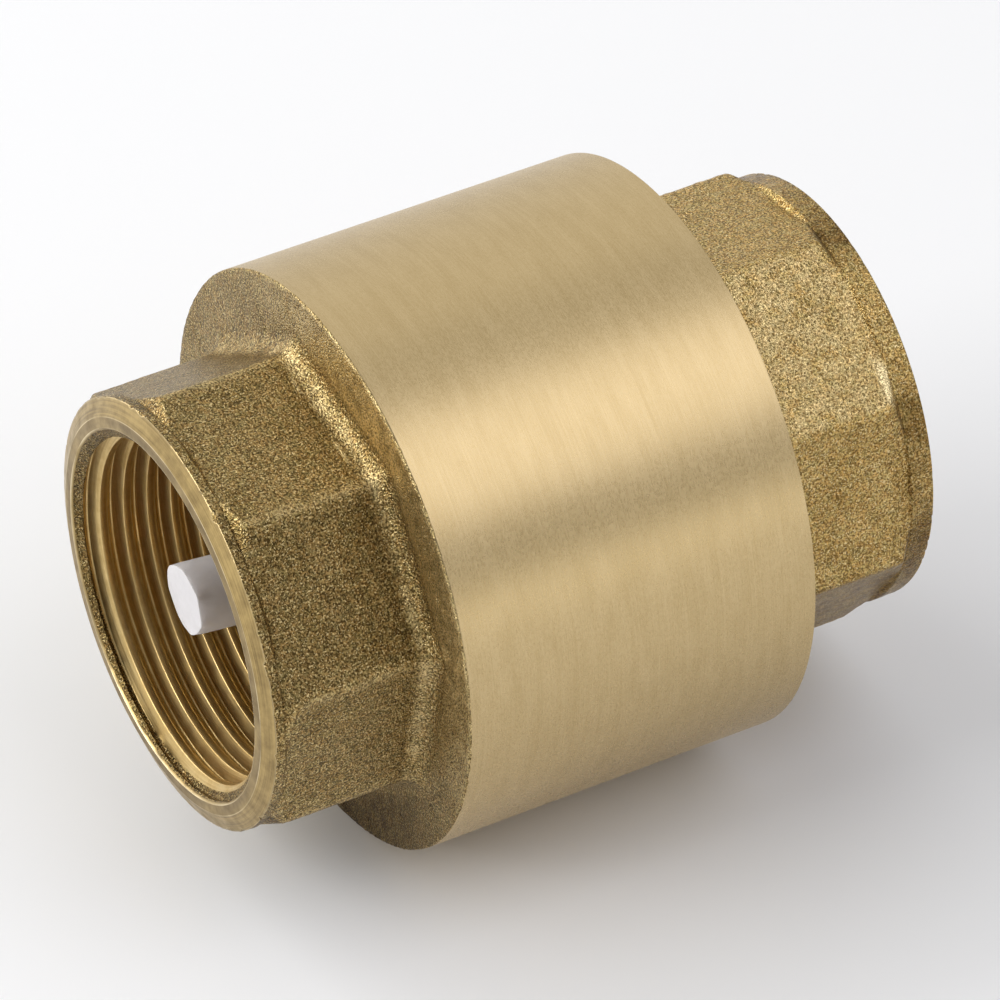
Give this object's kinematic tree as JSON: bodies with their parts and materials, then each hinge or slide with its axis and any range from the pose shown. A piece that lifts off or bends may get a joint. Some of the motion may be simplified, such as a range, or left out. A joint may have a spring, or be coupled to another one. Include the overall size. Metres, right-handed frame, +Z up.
{
  "type": "inline spring check valve",
  "caption": "Inline spring check valve: a spring closes a sealed poppet against a seat, so water passes one way between two threaded ports.",
  "frame": {"origin": "middle of the flow axis, halfway between the two port faces", "axes": "+X along the flow axis towards the inlet port, -X towards the outlet port, +Z up with the valve lying on its barrel"},
  "size_m": [0.052, 0.0414, 0.0414],
  "materials": {
    "brass_body": "turned satin barrel, sand-cast grain elsewhere",
    "brass_cap": "sand-cast grain with turned rim and thread",
    "acetal": "satin moulded acetal",
    "nbr": "matt moulded rubber",
    "spring_steel": "drawn stainless wire"
  },
  "bodies": {
    "housing": {"valve_body": "brass_body", "end_cap": "brass_cap", "cap_o_ring": "nbr", "closing_spring": "spring_steel"},
    "poppet_assembly": {"poppet": "acetal", "poppet_seal": "nbr", "seal_retainer": "acetal"}
  },
  "joints": [
    {"name": "poppet_slide", "type": "slide", "parent": "housing", "child": "poppet_assembly", "axis": [-1, 0, 0], "range_m": [0, 0.006], "stiffness_N_per_m": 250, "springref_m": -0.006, "deforming": ["closing_spring"]}
  ]
}
